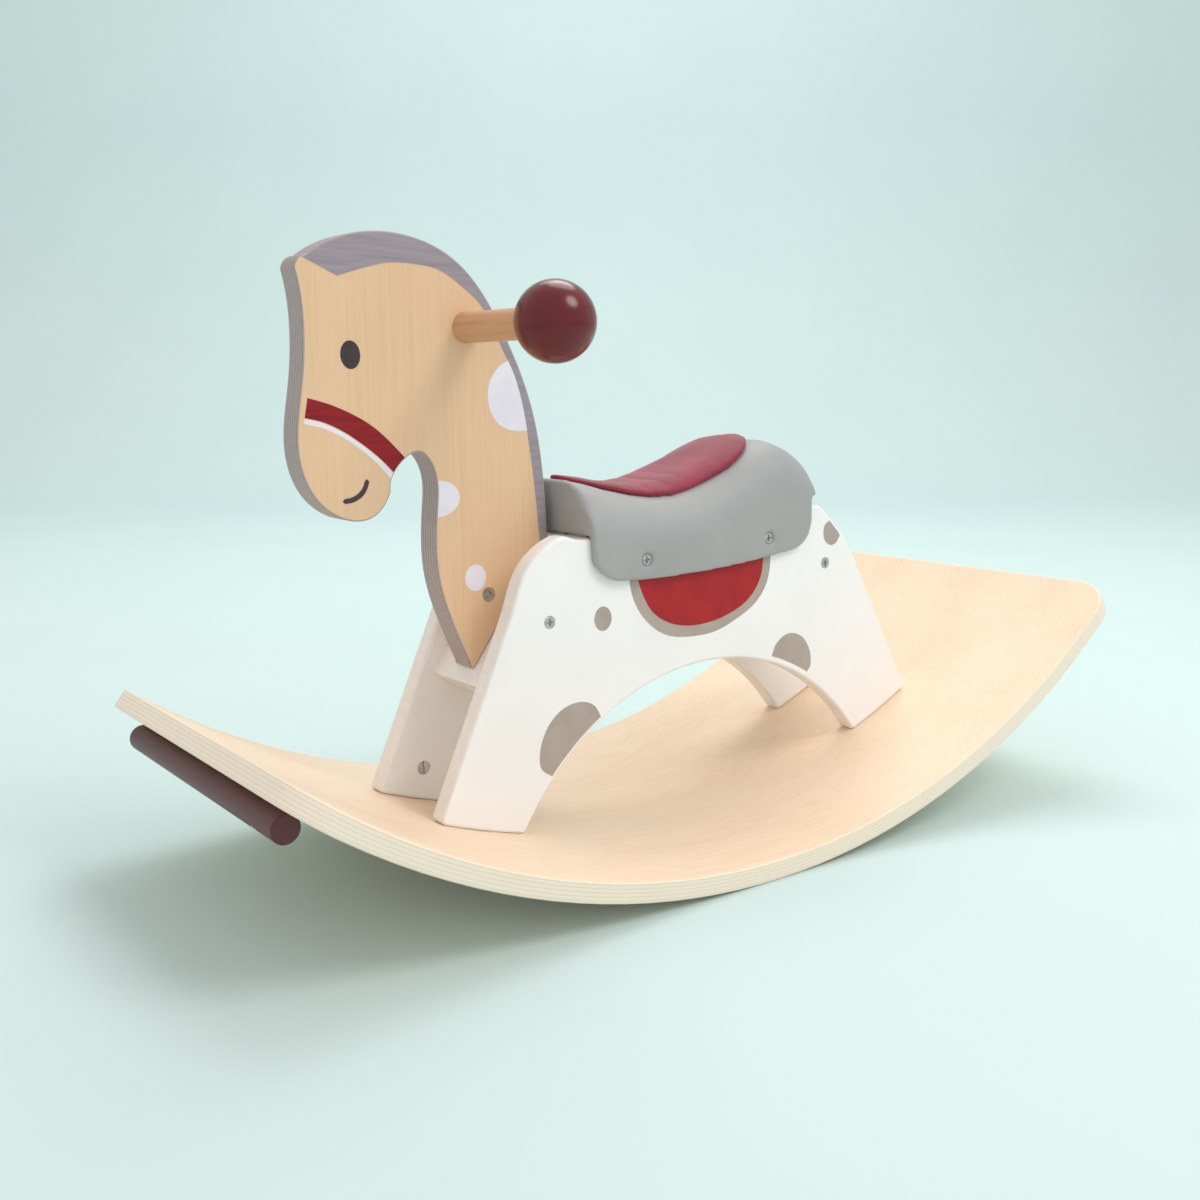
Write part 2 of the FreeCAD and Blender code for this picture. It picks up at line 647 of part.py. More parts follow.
def leg_joint_holes(name, angle, y, side):
    """Bolt hole up a foot, and the cross nut's hole from the panel's inner face."""
    start = 2  # outside the solid
    foot = shifted(on_circle(BOARD_TOP + start, angle), y)
    inner_face = shifted(leg_nut_place(angle, y), side * (HALF_GAP - start))
    up = size("leg_nut_rise") + LEG_BOLT_BEYOND + 2 * start
    depth = size("panel_thickness") - NUT_END_WALL + start
    return [
        cylinder(name + "_bolt_hole", foot, outward(angle) * -1, BOLT_HOLE, str(up)),
        cylinder(name + "_nut_hole", inner_face, V(0, side, 0), NUT_HOLE, str(depth)),
    ]


# ---------------------------------------------------------------- leg bolts, washers and cross nuts

BOLT_KEY = 4  # across the flats of a bolt's socket
NUT_KEY = 5
KEY_DEPTH = 2
SLOT_WIDTH = 1.4  # key slot of a leg's cross nut
SLOT_DEPTH = 1
NUT_SHORTER = 4  # how much shorter than the panel's thickness a leg's cross nut is
NUT_RECESS = 0.5  # from the wood's face to the end of a cross nut


def hex_socket(name, point, direction, across, depth):
    prism = document.addObject("Part::Prism", name)
    prism.Polygon = 6
    prism.Circumradius = across / math.sqrt(3)
    prism.Height = 2 * depth
    prism.Placement = along(point - direction * depth, direction)
    return prism


def machine_bolt(name, seat, direction, length):
    """Button head bolt; seat is where the underside of its head bears."""
    back = seat - direction * size("bolt_head_height")
    head = cylinder(name + "_disc", back, direction, "Sizes.bolt_head_diameter / 2", "Sizes.bolt_head_height")
    shank = cylinder(name + "_shank", seat, direction, "Sizes.bolt_diameter / 2", str(length))
    blank = combine("Part::MultiFuse", name + "_blank", [head, shank])
    return cut(name, blank, [hex_socket(name + "_socket", back, direction, BOLT_KEY, KEY_DEPTH)])


def washer(name, seat, direction):
    """Flat washer whose far face is at seat."""
    near = seat - direction * size("washer_thickness")
    disc = cylinder(name + "_disc", near, direction, "Sizes.washer_diameter / 2", "Sizes.washer_thickness")
    hole = cylinder(name + "_hole", seat - direction * EXTRA, direction, BOLT_HOLE, str(2 * EXTRA))
    return cut(name, disc, [hole])


def key_slot(name, point, direction):
    """Slot right across the end of a cross nut."""
    slot = document.addObject("Part::Box", name)
    slot.Length, slot.Width, slot.Height = SLOT_WIDTH, 2 * size("nut_diameter"), 2 * SLOT_DEPTH
    lay = FreeCAD.Placement(V(-SLOT_WIDTH / 2, -size("nut_diameter"), -SLOT_DEPTH), FreeCAD.Rotation())
    slot.Placement = along(point, direction) * lay
    return slot


def cross_nut(name, end, axis, length, bolt_point, bolt_direction, key):
    """Round nut across a bolt: end is the middle of the face that shows, from which it runs along axis."""
    rod = cylinder(name + "_rod", end, axis, "Sizes.nut_diameter / 2", str(length))
    hole = cylinder(
        name + "_hole", bolt_point - bolt_direction * EXTRA, bolt_direction, BOLT_HOLE, str(2 * EXTRA)
    )
    return cut(name, rod, [hole, key])


def leg_fixings():
    bolts, washers, nuts = [], [], []
    for n, (angle, y) in enumerate(LEG_JOINTS, start=1):
        up = outward(angle) * -1
        counterbore = shifted(on_circle(R - HEAD_SEAT, angle), y)
        seat = counterbore - up * size("washer_thickness")
        in_board = size("board_thickness") - HEAD_SEAT + size("washer_thickness")
        length = in_board + size("leg_nut_rise") + LEG_BOLT_BEYOND
        bolts.append(machine_bolt(f"leg_bolt_{n}", seat, up, length))
        washers.append(washer(f"leg_washer_{n}", counterbore, up))
        side = math.copysign(1, y)
        into_panel = V(0, side, 0)
        crossing = leg_nut_place(angle, y)
        end = shifted(crossing, side * (HALF_GAP + NUT_RECESS))
        key = key_slot(f"leg_nut_slot_{n}", end, into_panel)
        nut_length = size("panel_thickness") - NUT_SHORTER
        nuts.append(cross_nut(f"leg_nut_{n}", end, into_panel, nut_length, crossing, up, key))
    settle(combine("Part::Compound", "leg_bolt_group", bolts), "leg_bolts")
    settle(combine("Part::Compound", "leg_washer_group", washers), "leg_bolt_washers")
    settle(combine("Part::Compound", "leg_nut_group", nuts), "leg_cross_nuts")


# ---------------------------------------------------------------- head

TIP_SETBACK = 13.5  # from the front board's lower edge up to the neck's lower tip
HEAD_BOLT_BEYOND = 10  # how far the bolt goes past the middle of its cross nut
HEAD_BOLT_LENGTH = size("cross_board_thickness") - HEAD_SEAT_DEPTH + size("head_nut_depth") + HEAD_BOLT_BEYOND


def head_panel():
    body = document.addObject("PartDesign::Body", "head_blank")
    tip = FRONT_TOP + FRONT_DOWN * (FRONT_LENGTH - TIP_SETBACK)
    back = size("neck_back")
    neck = flat(V(back, 0, DECK))
    outline = draw(
        new_sketch(body, "head_outline"),
        neck,
        ("curve", (back, 268), (105, 320), (124, 372), (158, 420), (213, 438.5), (262, 425)),
        ("arc", (268.5, 422), (271, 417)),
        ("curve", (268.5, 385), (273, 348), (279.5, 306), (266, 271), (240, 259), (218, 276)),
        ("curve", (207, 295), (195, 299), (186, 288), (185.5, 262), (188, 215), (180, 182), (168.6, 151.4)),
        ("arc", (167.4, 148.6), flat(tip)),
        ("line", neck),
    )
    plate = pad(body, outline, "Sizes.head_thickness")
    round_edges(body, plate, on_faces("head_thickness"), "Sizes.head_edge_round")
    thickness = size("head_thickness")
    to_right = V(0, -1, 0)
    across = shifted(V(size("handle_forward"), 0, size("handle_level")), thickness)
    nut_mouth = shifted(HEAD_NUT, thickness)
    nut_depth = 1.5 * thickness - NUT_END_WALL
    holes = [
        cylinder("handle_hole", across, to_right, HANDLE_HOLE, str(2 * thickness)),
        cylinder("head_nut_hole", nut_mouth, to_right, NUT_HOLE, str(nut_depth)),
        cylinder("head_bolt_hole", HEAD_BOLT_SEAT, FRONT_NORMAL, BOLT_HOLE, str(HEAD_BOLT_LENGTH + 1)),
    ]
    for n, middle in enumerate(HEAD_DOWELS, start=1):
        holes.append(head_dowel(f"neck_socket_{n}", middle, GAP))
    settle(cut("head_drilled", body, holes), "head_panel")


def head_fixings():
    seat = HEAD_BOLT_SEAT - FRONT_NORMAL * size("washer_thickness")
    settle(machine_bolt("neck_bolt", seat, FRONT_NORMAL, HEAD_BOLT_LENGTH), "head_bolt")
    settle(washer("neck_washer", HEAD_BOLT_SEAT, FRONT_NORMAL), "head_bolt_washer")
    to_right = V(0, -1, 0)
    end = shifted(HEAD_NUT, size("head_thickness") / 2 - NUT_RECESS)
    length = size("head_thickness") - NUT_END_WALL - 2 * NUT_RECESS
    key = hex_socket("neck_nut_key", end, to_right, NUT_KEY, KEY_DEPTH)
    settle(cross_nut("neck_nut", end, to_right, length, HEAD_NUT, FRONT_NORMAL, key), "head_cross_nut")
    dowels = [head_dowel(f"neck_dowel_{n}", middle, NO_GAP) for n, middle in enumerate(HEAD_DOWELS, start=1)]
    settle(combine("Part::Compound", "neck_dowel_group", dowels), "head_dowels")


def cross_board_fixings():
    dowels = [
        cross_dowel(f"cross_dowel_{n}", middle, side, NO_GAP)
        for n, (middle, side) in enumerate(CROSS_DOWELS, start=1)
    ]
    settle(combine("Part::Compound", "cross_dowel_group", dowels), "cross_board_dowels")
    fastener_set("cross_board_screws", CROSS_SCREWS, lambda *at: countersunk(*at, CROSS_LENGTH))


# ---------------------------------------------------------------- handle

KNOB_SPARE = 0.3  # how much deeper than the dowel's end each ball is bored


def handle():
    x, z = size("handle_forward"), size("handle_level")
    half = size("handle_length") / 2
    end, to_right = V(x, half, z), V(0, -1, 0)
    rod = cylinder("handle_rod", end, to_right, "Sizes.handle_diameter / 2", "Sizes.handle_length")
    settle(combine("Part::Compound", "handle_bar", [rod]), "handle_dowel")
    for side, name in ((1, "left"), (-1, "right")):
        sideways = V(0, side, 0)
        ball = document.addObject("Part::Sphere", name + "_ball")
        ball.Placement = along(V(x, side * size("knob_spacing") / 2, z), sideways)
        bind(ball, Radius="Sizes.knob_diameter / 2")
        bore = cylinder(name + "_knob_bore", V(x, 0, z), sideways, HANDLE_HOLE, str(half + KNOB_SPARE))
        settle(cut(name + "_ball_bored", ball, [bore]), f"{name}_knob")


# ---------------------------------------------------------------- seat board

SEAT_BOARD_GAP = 0.5  # from its front edge to the inside of the saddle's front wall


def seat_board():
    half = HALF_GAP + size("seat_board_bearing")
    front = size("saddle_front") - size("saddle_wall") - SEAT_BOARD_GAP
    back = size("seat_board_back")
    body = document.addObject("PartDesign::Body", "seat_board_blank")
    corners = [(front, DECK), (front, DECK_TOP), (back, DECK_TOP), (back, DECK)]
    sketch = draw(new_sketch(body, "seat_board_side"), corners[-1], *[("line", corner) for corner in corners])
    blank = pad(body, sketch, "Sizes.panel_gap + 2 * Sizes.seat_board_bearing")

    def upper_long_edge(edge):
        middle = edge.CenterOfMass
        return abs(abs(middle.y) - half) < 1e-3 and abs(middle.z - DECK_TOP) < 1e-3

    round_edges(body, blank, upper_long_edge, "Sizes.seat_board_round")
    holes = [
        countersunk(f"deck_hole_{n}", point, direction, DECK_LENGTH, GAP)
        for n, (point, direction) in enumerate(DECK_SCREWS, start=1)
    ]
    settle(cut("seat_board_drilled", body, holes), "seat_board")
    fastener_set("seat_board_screws", DECK_SCREWS, lambda *at: countersunk(*at, DECK_LENGTH))


# ---------------------------------------------------------------- saddle

SADDLE_FLOOR = size("flap_bottom") - 15  # bottom of the untrimmed walls, below the flaps
SADDLE_CEILING = size("saddle_cantle") + EXTRA


def smooth_height(knots, x):
    """Height at x of a smooth curve through knots, which run from front to rear."""
    slopes = []
    for n in range(len(knots)):
        before, after = knots[max(n - 1, 0)], knots[min(n + 1, len(knots) - 1)]
        slopes.append((after[1] - before[1]) / (after[0] - before[0]))
    n = max(i for i in range(len(knots) - 1) if knots[i][0] >= x or i == 0)
    (x0, z0), (x1, z1) = knots[n], knots[n + 1]
    step = x1 - x0
    t = (x - x0) / step
    return (
        (2 * t**3 - 3 * t**2 + 1) * z0
        + (t**3 - 2 * t**2 + t) * step * slopes[n]
        + (3 * t**2 - 2 * t**3) * z1
        + (t**3 - t**2) * step * slopes[n + 1]
    )


SEAT_STATIONS = 12  # intervals between sections along the seat
TAIL_STATIONS = 6  # intervals round the tail
TAIL_SWEEP = 76  # degrees of the tail's half ellipse that the sections cover
RIB_STATIONS = (2, 5, 8)  # sections with a rib under the seat
RIB_THICKNESS = 3
BOSS_WALL = 3  # round a screw's recess in a flap
BOSS_GAP = 0.2  # from a boss to the panel
FLAP_SWELL = 3.5  # how much higher a flap's lower edge is at its ends than in its middle
FRONT_STEP = 4  # from the top of a flap's front corner down to where the outline is cut
FLAP_REAR = size("saddle_tail_start") - 0.2 * size("saddle_tail")  # X of a flap's rear edge


def seat_stations():
    """Sections of the saddle from front to rear: X, height of its middle, half width."""
    front, start, tail = size("saddle_front"), size("saddle_tail_start"), size("saddle_tail")
    pommel, dip, cantle = size("saddle_pommel"), size("saddle_dip"), size("saddle_cantle")
    run = front - start
    seat_line = [
        (front, pommel),
        (front - 0.22 * run, dip + 2.5),
        (front - 0.4 * run, dip),
        (front - 0.6 * run, dip + 8),
        (front - 0.8 * run, cantle - 6),
        (start + 0.38 * tail, cantle),
        (start - 0.16 * tail, cantle - 11),
        (start - 0.48 * tail, cantle - 24),
        (start - 0.8 * tail, cantle - 37),
        (start - tail, cantle - 52),
    ]
    plan = [(front - run * n / SEAT_STATIONS, FLAP_FACE) for n in range(SEAT_STATIONS)]
    for n in range(TAIL_STATIONS + 1):
        turn = math.radians(TAIL_SWEEP * n / TAIL_STATIONS)
        plan.append((start - tail * math.sin(turn), FLAP_FACE * math.cos(turn)))
    return [(x, smooth_height(seat_line, x), half) for x, half in plan]


def arch_over(half, top, shoulder):
    """Right lower corner over the top to the left lower corner: points of a section's upper side."""
    bend = shoulder * (1 - math.sqrt(0.5))
    return [
        ("line", (half, top - shoulder)),
        ("arc", (half - bend, top - bend), (half - shoulder, top)),
        ("line", (shoulder - half, top)),
        ("arc", (bend - half, top - bend), (-half, top - shoulder)),
        ("line", (-half, SADDLE_FLOOR)),
    ]


def back_over(half, top, shoulder):
    """The same arch drawn from left to right, for the inside of a wall."""
    bend = shoulder * (1 - math.sqrt(0.5))
    return [
        ("line", (-half, top - shoulder)),
        ("arc", (bend - half, top - bend), (shoulder - half, top)),
        ("line", (half - shoulder, top)),
        ("arc", (half - bend, top - bend), (half, top - shoulder)),
        ("line", (half, SADDLE_FLOOR)),
    ]


def arch_sizes(height, half, inset):
    """Half width, height and shoulder radius of a section moved in by inset."""
    half -= inset
    return half, height - inset, min(size("saddle_shoulder") - inset, 0.8 * half)


def section_sketch(body, name, x):
    sketch = new_sketch(body, name, "YZ_Plane")
    sketch.AttachmentOffset = FreeCAD.Placement(V(0, 0, x), FreeCAD.Rotation())
    return sketch


def solid_section(body, name, x, height, half, inset):
    half, top, shoulder = arch_sizes(height, half, inset)
    floor = ("line", (half, SADDLE_FLOOR))
    return draw(section_sketch(body, name, x), (-half, SADDLE_FLOOR), floor, *arch_over(half, top, shoulder))


def wall_section(body, name, x, height, half):
    wall = size("saddle_wall")
    outer, inner = arch_sizes(height, half, 0), arch_sizes(height, half, wall)
    return draw(
        section_sketch(body, name, x),
        (outer[0], SADDLE_FLOOR),
        *arch_over(*outer),
        ("line", (-inner[0], SADDLE_FLOOR)),
        *back_over(*inner),
        ("line", (outer[0], SADDLE_FLOOR)),
    )


def loft_through(body, sections):
    loft = body.newObject("PartDesign::AdditiveLoft", body.Name + "_loft")
    loft.Profile = sections[0]
    loft.Sections = sections[1:]
    loft.Ruled = True


def saddle_block(name, inset):
    """Solid inside the saddle's outer surface moved in by inset."""
    body = document.addObject("PartDesign::Body", name)
    sections = [
        solid_section(body, f"{name}_section_{n}", x, height, half, inset)
        for n, (x, height, half) in enumerate(seat_stations(), start=1)
    ]
    loft_through(body, sections)
    return body


def saddle_walls():
    """Seat, flaps, front wall and tail wall before the rims are cut."""
    body = document.addObject("PartDesign::Body", "saddle_walls")
    stations = seat_stations()
    sections = [wall_section(body, f"wall_{n}", *station) for n, station in enumerate(stations, start=1)]
    loft_through(body, sections)
    for name, station, toward_rear in (("front", stations[0], True), ("tail", stations[-1], False)):
        plate = body.newObject("PartDesign::Pad", f"{name}_plate")
        plate.Profile = solid_section(body, f"{name}_wall", *station, 0)
        plate.Reversed = toward_rear
        bind(plate, Length="Sizes.saddle_wall")
    return body


def saddle_side_view():
    """Prism that keeps what is above the rims and inside the flaps' rounded lower corners."""
    front, low, corner = size("saddle_front"), size("flap_bottom"), size("flap_corner")
    swollen = low + FLAP_SWELL
    near = corner * (1 - math.sqrt(0.5))
    step = swollen + corner + FRONT_STEP
    ahead, behind = front + EXTRA, FLAP_REAR - 2 * EXTRA
    side = document.addObject("PartDesign::Body", "saddle_side_view")
    outline = draw(
        new_sketch(side, "saddle_side_outline"),
        (ahead, SADDLE_CEILING),
        ("line", (ahead, step)),
        ("line", (front + 2, step)),
        ("arc", (front - near, swollen + near), (front - corner, swollen)),
        ("arc", ((front + FLAP_REAR) / 2, low), (FLAP_REAR + corner, swollen)),
        ("arc", (FLAP_REAR + near, swollen + near), (FLAP_REAR, swollen + corner)),
        ("line", (FLAP_REAR, size("rear_rim"))),
        ("line", (behind, size("rear_rim"))),
        ("line", (behind, SADDLE_CEILING)),
        ("line", (ahead, SADDLE_CEILING)),
    )
    pad(side, outline, "4 * (Sizes.panel_gap + Sizes.panel_thickness)")
    return side


def saddle_bosses():
    """Round pads inside the flaps, and the recesses and holes through them, for the four screws."""
    bosses, recesses = [], []
    for n, (point, direction) in enumerate(SADDLE_SCREWS, start=1):
        foot = shifted(point, math.copysign(PANEL_FACE + BOSS_GAP, point.y))
        rise = FLAP_FACE - size("saddle_wall") - PANEL_FACE - BOSS_GAP + size("saddle_wall") / 2
        radius = f"Sizes.screw_recess_diameter / 2 + {BOSS_WALL}"
        bosses.append(cylinder(f"saddle_boss_{n}", foot, direction * -1, radius, str(rise)))
        mouth = point - direction * EXTRA
        recess = "Sizes.screw_recess_diameter / 2"
        recesses.append(cylinder(f"saddle_recess_{n}", mouth, direction, recess, str(EXTRA)))
        recesses.append(cylinder(f"saddle_hole_{n}", point, direction, f"{HALF_SCREW} + {GAP}", "10"))
    return bosses, recesses


def saddle():
    front, wall = size("saddle_front"), size("saddle_wall")
    trimmed = combine("Part::MultiCommon", "saddle_trimmed", [saddle_walls(), saddle_side_view()])
    opening = FLAP_FACE - wall - 1.5
    tunnel = box(
        "saddle_tunnel",
        V(front - wall - 2, -opening, SADDLE_FLOOR - EXTRA),
        V(front + EXTRA, opening, size("front_rim")),
    )
    hollow = cut("saddle_hollow", trimmed, [tunnel])
    bosses, recesses = saddle_bosses()
    ribs = []
    half = HALF_GAP - 6
    stations = seat_stations()
    for n, station in enumerate(RIB_STATIONS, start=1):
        x, height, _ = stations[station]
        corner, far_corner = V(x, -half, DECK_TOP), V(x + RIB_THICKNESS, half, height - wall / 2)
        ribs.append(box(f"saddle_rib_{n}", corner, far_corner))
    joined = combine("Part::MultiFuse", "saddle_joined", [hollow, *bosses, *ribs])
    settle(cut("saddle_finished", joined, recesses), "saddle_shell")
    fastener_set("saddle_screws", SADDLE_SCREWS, lambda *at: pan_head(*at, SADDLE_LENGTH))


def saddle_pad():
    """Egg-shaped cushion on the seat, narrow in front and broad behind."""
    outer = saddle_block("saddle_outside", 0)
    raised = saddle_block("pad_top", -size("pad_rise"))
    egg = document.addObject("PartDesign::Body", "pad_plan")
    front, rear, half = size("pad_front"), size("pad_rear"), size("pad_half_width")
    run = front - rear
    right = [
        (rear, -0.5 * half), (rear + 0.08 * run, -0.84 * half),
        (rear + 0.3 * run, -half), (rear + 0.7 * run, -0.86 * half),
    ]
    left = [(x, -y) for x, y in reversed(right)]
    tip = 0.035 * run
    sketch = new_sketch(egg, "pad_outline", "XY_Plane")
    draw(
        sketch,
        (front - tip, -0.2 * half),
        ("curve", (front, 0), (front - tip, 0.2 * half)),
        ("curve", *left, (rear - 0.2 * half, 0), *right, (front - tip, -0.2 * half)),
    )
    prism = egg.newObject("PartDesign::Pad", "pad_prism")
    prism.Profile = sketch
    prism.Length = SADDLE_CEILING
    cap = combine("Part::MultiCommon", "pad_cap", [egg, raised])
    settle(cut("pad_resting", cap, [outer]), "saddle_pad")


# ---------------------------------------------------------------- build, check and write

rocker_board()
stopper_bar()
side_panels()
cross_boards()
cross_board_fixings()
head_panel()
head_fixings()
handle()
leg_fixings()
seat_board()
saddle()
saddle_pad()
document.recompute()

failed = [thing.Name for thing in document.Objects if {"Invalid", "Error"} & set(thing.State)]
assert not failed, [(name, document.getObject(name).getStatusString()) for name in failed]
for label, piece in pieces.items():
    assert not piece.Shape.isNull() and piece.Shape.isValid(), label
    assert piece.Shape.Solids, label

os.makedirs("parts", exist_ok=True)
for label, piece in pieces.items():
    piece.Shape.exportStep(f"parts/{label}.step")
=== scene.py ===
"""A child's rocking horse in plywood and paint, with a moulded saddle, a soft pad and a red-balled handle."""

import json
import math

import bmesh
import bpy
from mathutils import Matrix, Vector


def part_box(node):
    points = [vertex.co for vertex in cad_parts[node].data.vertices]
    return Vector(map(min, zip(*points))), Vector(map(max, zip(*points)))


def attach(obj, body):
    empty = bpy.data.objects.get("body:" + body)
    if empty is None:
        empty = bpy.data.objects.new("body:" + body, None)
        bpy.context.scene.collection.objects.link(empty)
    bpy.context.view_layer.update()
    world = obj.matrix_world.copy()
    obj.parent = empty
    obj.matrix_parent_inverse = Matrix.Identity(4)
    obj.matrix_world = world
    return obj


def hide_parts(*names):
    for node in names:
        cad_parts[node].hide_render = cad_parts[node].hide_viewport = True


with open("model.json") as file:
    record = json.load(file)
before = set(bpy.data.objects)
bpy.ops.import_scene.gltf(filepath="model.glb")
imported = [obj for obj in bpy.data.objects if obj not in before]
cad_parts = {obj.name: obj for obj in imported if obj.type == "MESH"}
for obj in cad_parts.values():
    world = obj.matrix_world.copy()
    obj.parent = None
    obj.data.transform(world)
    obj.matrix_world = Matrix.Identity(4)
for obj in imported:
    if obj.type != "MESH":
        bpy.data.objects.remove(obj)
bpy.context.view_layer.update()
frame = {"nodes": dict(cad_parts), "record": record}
nodes = frame["nodes"]

MM = 0.001
ROCKER_RADIUS = 568 * MM  # underside of the board; the arc's centre is straight above the origin
BOARD_THICKNESS = 14 * MM
REST_LEAN = math.radians(3.1)  # how far the horse rests nose down
PAINT = 0.12 * MM  # thickness of a printed shape


# ---------------------------------------------------------------- places


def at_rest(x, y, z):
    """Row-frame point of a place on the upright horse, given in millimetres."""
    x, y, z = x * MM, y * MM, z * MM - ROCKER_RADIUS
    lean = REST_LEAN
    return Vector((
        x * math.cos(lean) + z * math.sin(lean),
        y,
        ROCKER_RADIUS - x * math.sin(lean) + z * math.cos(lean),
    ))


def smooth_run(points, steps=8):
    """Points along a smooth open curve through the given ones."""
    if len(points) < 3:
        return list(points)
    ends = [points[0], *points, points[-1]]
    run = []
    for a, b, c, d in zip(ends, ends[1:], ends[2:], ends[3:]):
        for n in range(steps):
            t = n / steps
            run.append(tuple(
                q + 0.5 * t * (r - p + t * (2 * p - 5 * q + 4 * r - s + t * (3 * q - p - 3 * r + s)))
                for p, q, r, s in zip(a, b, c, d)
            ))
    return [*run, points[-1]]


def outline(*runs):
    """Closed outline of smooth runs that meet at corners: each run starts where the one before ends."""
    points = []
    for run in runs:
        points += smooth_run(run)[:-1]
    return points


def oval(x, z, half_width, half_height, turn=0, count=48):
    """Ellipse round (x, z), its height turned by that many degrees towards +X."""
    tilt = math.radians(turn)
    points = []
    for n in range(count):
        angle = 2 * math.pi * n / count
        a = half_width * math.cos(angle)
        b = half_height * math.sin(angle)
        ahead = a * math.cos(tilt) + b * math.sin(tilt)
        above = b * math.cos(tilt) - a * math.sin(tilt)
        points.append((x + ahead, z + above))
    return points


def arc(x, z, radius, start, end, count=16):
    """Points on a circle round (x, z) between two of its own points' directions."""
    first = math.atan2(start[1] - z, start[0] - x)
    last = math.atan2(end[1] - z, end[0] - x)
    angles = [first + (last - first) * n / count for n in range(count + 1)]
    return [(x + radius * math.cos(angle), z + radius * math.sin(angle)) for angle in angles]


# ---------------------------------------------------------------- materials


class Shader:
    """A node material under construction, with helpers that return sockets."""

    def __init__(self, name, roughness, **settings):
        self.material = bpy.data.materials.new(name)
        self.material.use_nodes = True
        self.tree = self.material.node_tree
        self.surface = self.tree.nodes["Principled BSDF"]
        self.set(Roughness=roughness, **settings)
        self.place = self.node("ShaderNodeTexCoord").outputs["Object"]

    def set(self, **settings):
        for name, value in settings.items():
            self.surface.inputs[name.replace("_", " ")].default_value = value

    def node(self, kind, **inputs):
        made = self.tree.nodes.new(kind)
        for name, value in inputs.items():
            self.feed(made.inputs[name.replace("_", " ")], value)
        return made

    def feed(self, socket, value):
        if isinstance(value, bpy.types.NodeSocket):
            self.tree.links.new(value, socket)
        else:
            socket.default_value = value

    def math(self, operation, *values):
        made = self.tree.nodes.new("ShaderNodeMath")
        made.operation = operation
        for socket, value in zip(made.inputs, values):
            self.feed(socket, value)
        return made.outputs[0]

    def vector(self, operation, *values):
        made = self.tree.nodes.new("ShaderNodeVectorMath")
        made.operation = operation
        for socket, value in zip(made.inputs, values):
            self.feed(socket, value)
        return made.outputs["Value" if operation in ("DOT_PRODUCT", "LENGTH") else "Vector"]

    def noise(self, scale, detail=4.0, stretch=(1, 1, 1), turn=(0, 0, 0)):
        mapping = self.node("ShaderNodeMapping", Vector=self.place, Scale=stretch, Rotation=turn)
        made = self.node("ShaderNodeTexNoise", Vector=mapping.outputs["Vector"], Scale=scale, Detail=detail)
        return made.outputs["Fac"]

    def ramp(self, value, *stops):
        """Colours, as (place, colour) pairs, along a value."""
        made = self.node("ShaderNodeValToRGB", Fac=value)
        elements = made.color_ramp.elements
        while len(elements) < len(stops):
            elements.new(0.5)
        for element, (place, colour) in zip(elements, stops):
            element.position = place
            element.color = (*colour, 1)
        return made.outputs["Color"]

    def mix(self, share, first, second):
        made = self.tree.nodes.new("ShaderNodeMix")
        made.data_type = "RGBA"
        self.feed(made.inputs["Factor"], share)
        for socket, value in ((made.inputs[6], first), (made.inputs[7], second)):
            self.feed(socket, (*value, 1) if isinstance(value, tuple) else value)
        return made.outputs[2]

    def colour(self, value):
        self.feed(self.surface.inputs["Base Color"], value)

    def rough(self, value, low, high):
        spread = self.node("ShaderNodeMapRange", Value=value)
        spread.inputs["To Min"].default_value = low
        spread.inputs["To Max"].default_value = high
        self.feed(self.surface.inputs["Roughness"], spread.outputs["Result"])

    def bump(self, height, depth, strength=0.5):
        made = self.node("ShaderNodeBump", Height=height, Distance=depth, Strength=strength)
        self.feed(self.surface.inputs["Normal"], made.outputs["Normal"])

    def normal(self):
        return self.node("ShaderNodeNewGeometry").outputs["Normal"]


def srgb(red, green, blue):
    """Linear colour of an 8-bit screen colour."""
    return tuple(
        c / 12.92 if c <= 0.04045 else ((c + 0.055) / 1.055) ** 2.4
        for c in (red / 255, green / 255, blue / 255)
    )


def grain(shader, along, pale, mid, dark):
    """Veneer: fine streaks along one axis, a slow drift of tone and short pores."""
    streak = [0.45 if axis == along else 18.0 for axis in range(3)]
    drift = [1.0 if axis == along else 4.0 for axis in range(3)]
    fine = shader.noise(22.0, 6.0, streak)
    slow = shader.noise(5.0, 3.0, drift)
    pores = shader.noise(90.0, 2.0, [0.2 if axis == along else 7.0 for axis in range(3)])
    tone = shader.math("ADD", shader.math("MULTIPLY", fine, 0.55), shader.math("MULTIPLY", slow, 0.45))
    wood = shader.ramp(tone, (0.25, dark), (0.50, mid), (0.75, pale))
    speck = shader.node("ShaderNodeMapRange", Value=pores, From_Min=0.6, From_Max=0.8).outputs["Result"]
    wood = shader.mix(shader.math("MULTIPLY", speck, 0.3), wood, dark)
    return wood, fine, pores


def ply_layers(shader, depth, pitch, pale, dark):
    """Thin veneers seen on edge: depth is the distance through the board."""
    wobble = shader.math("MULTIPLY", shader.noise(60.0, 3.0), 0.5 * MM)
    place = shader.math("DIVIDE", shader.math("ADD", depth, wobble), pitch)
    layer = shader.math("PINGPONG", place, 1.0)
    end_grain = shader.noise(420.0, 3.0)
    shade = shader.math("ADD", shader.math("MULTIPLY", layer, 0.75), shader.math("MULTIPLY", end_grain, 0.4))
    return shader.ramp(shade, (0.15, dark), (0.55, pale), (1.0, pale))


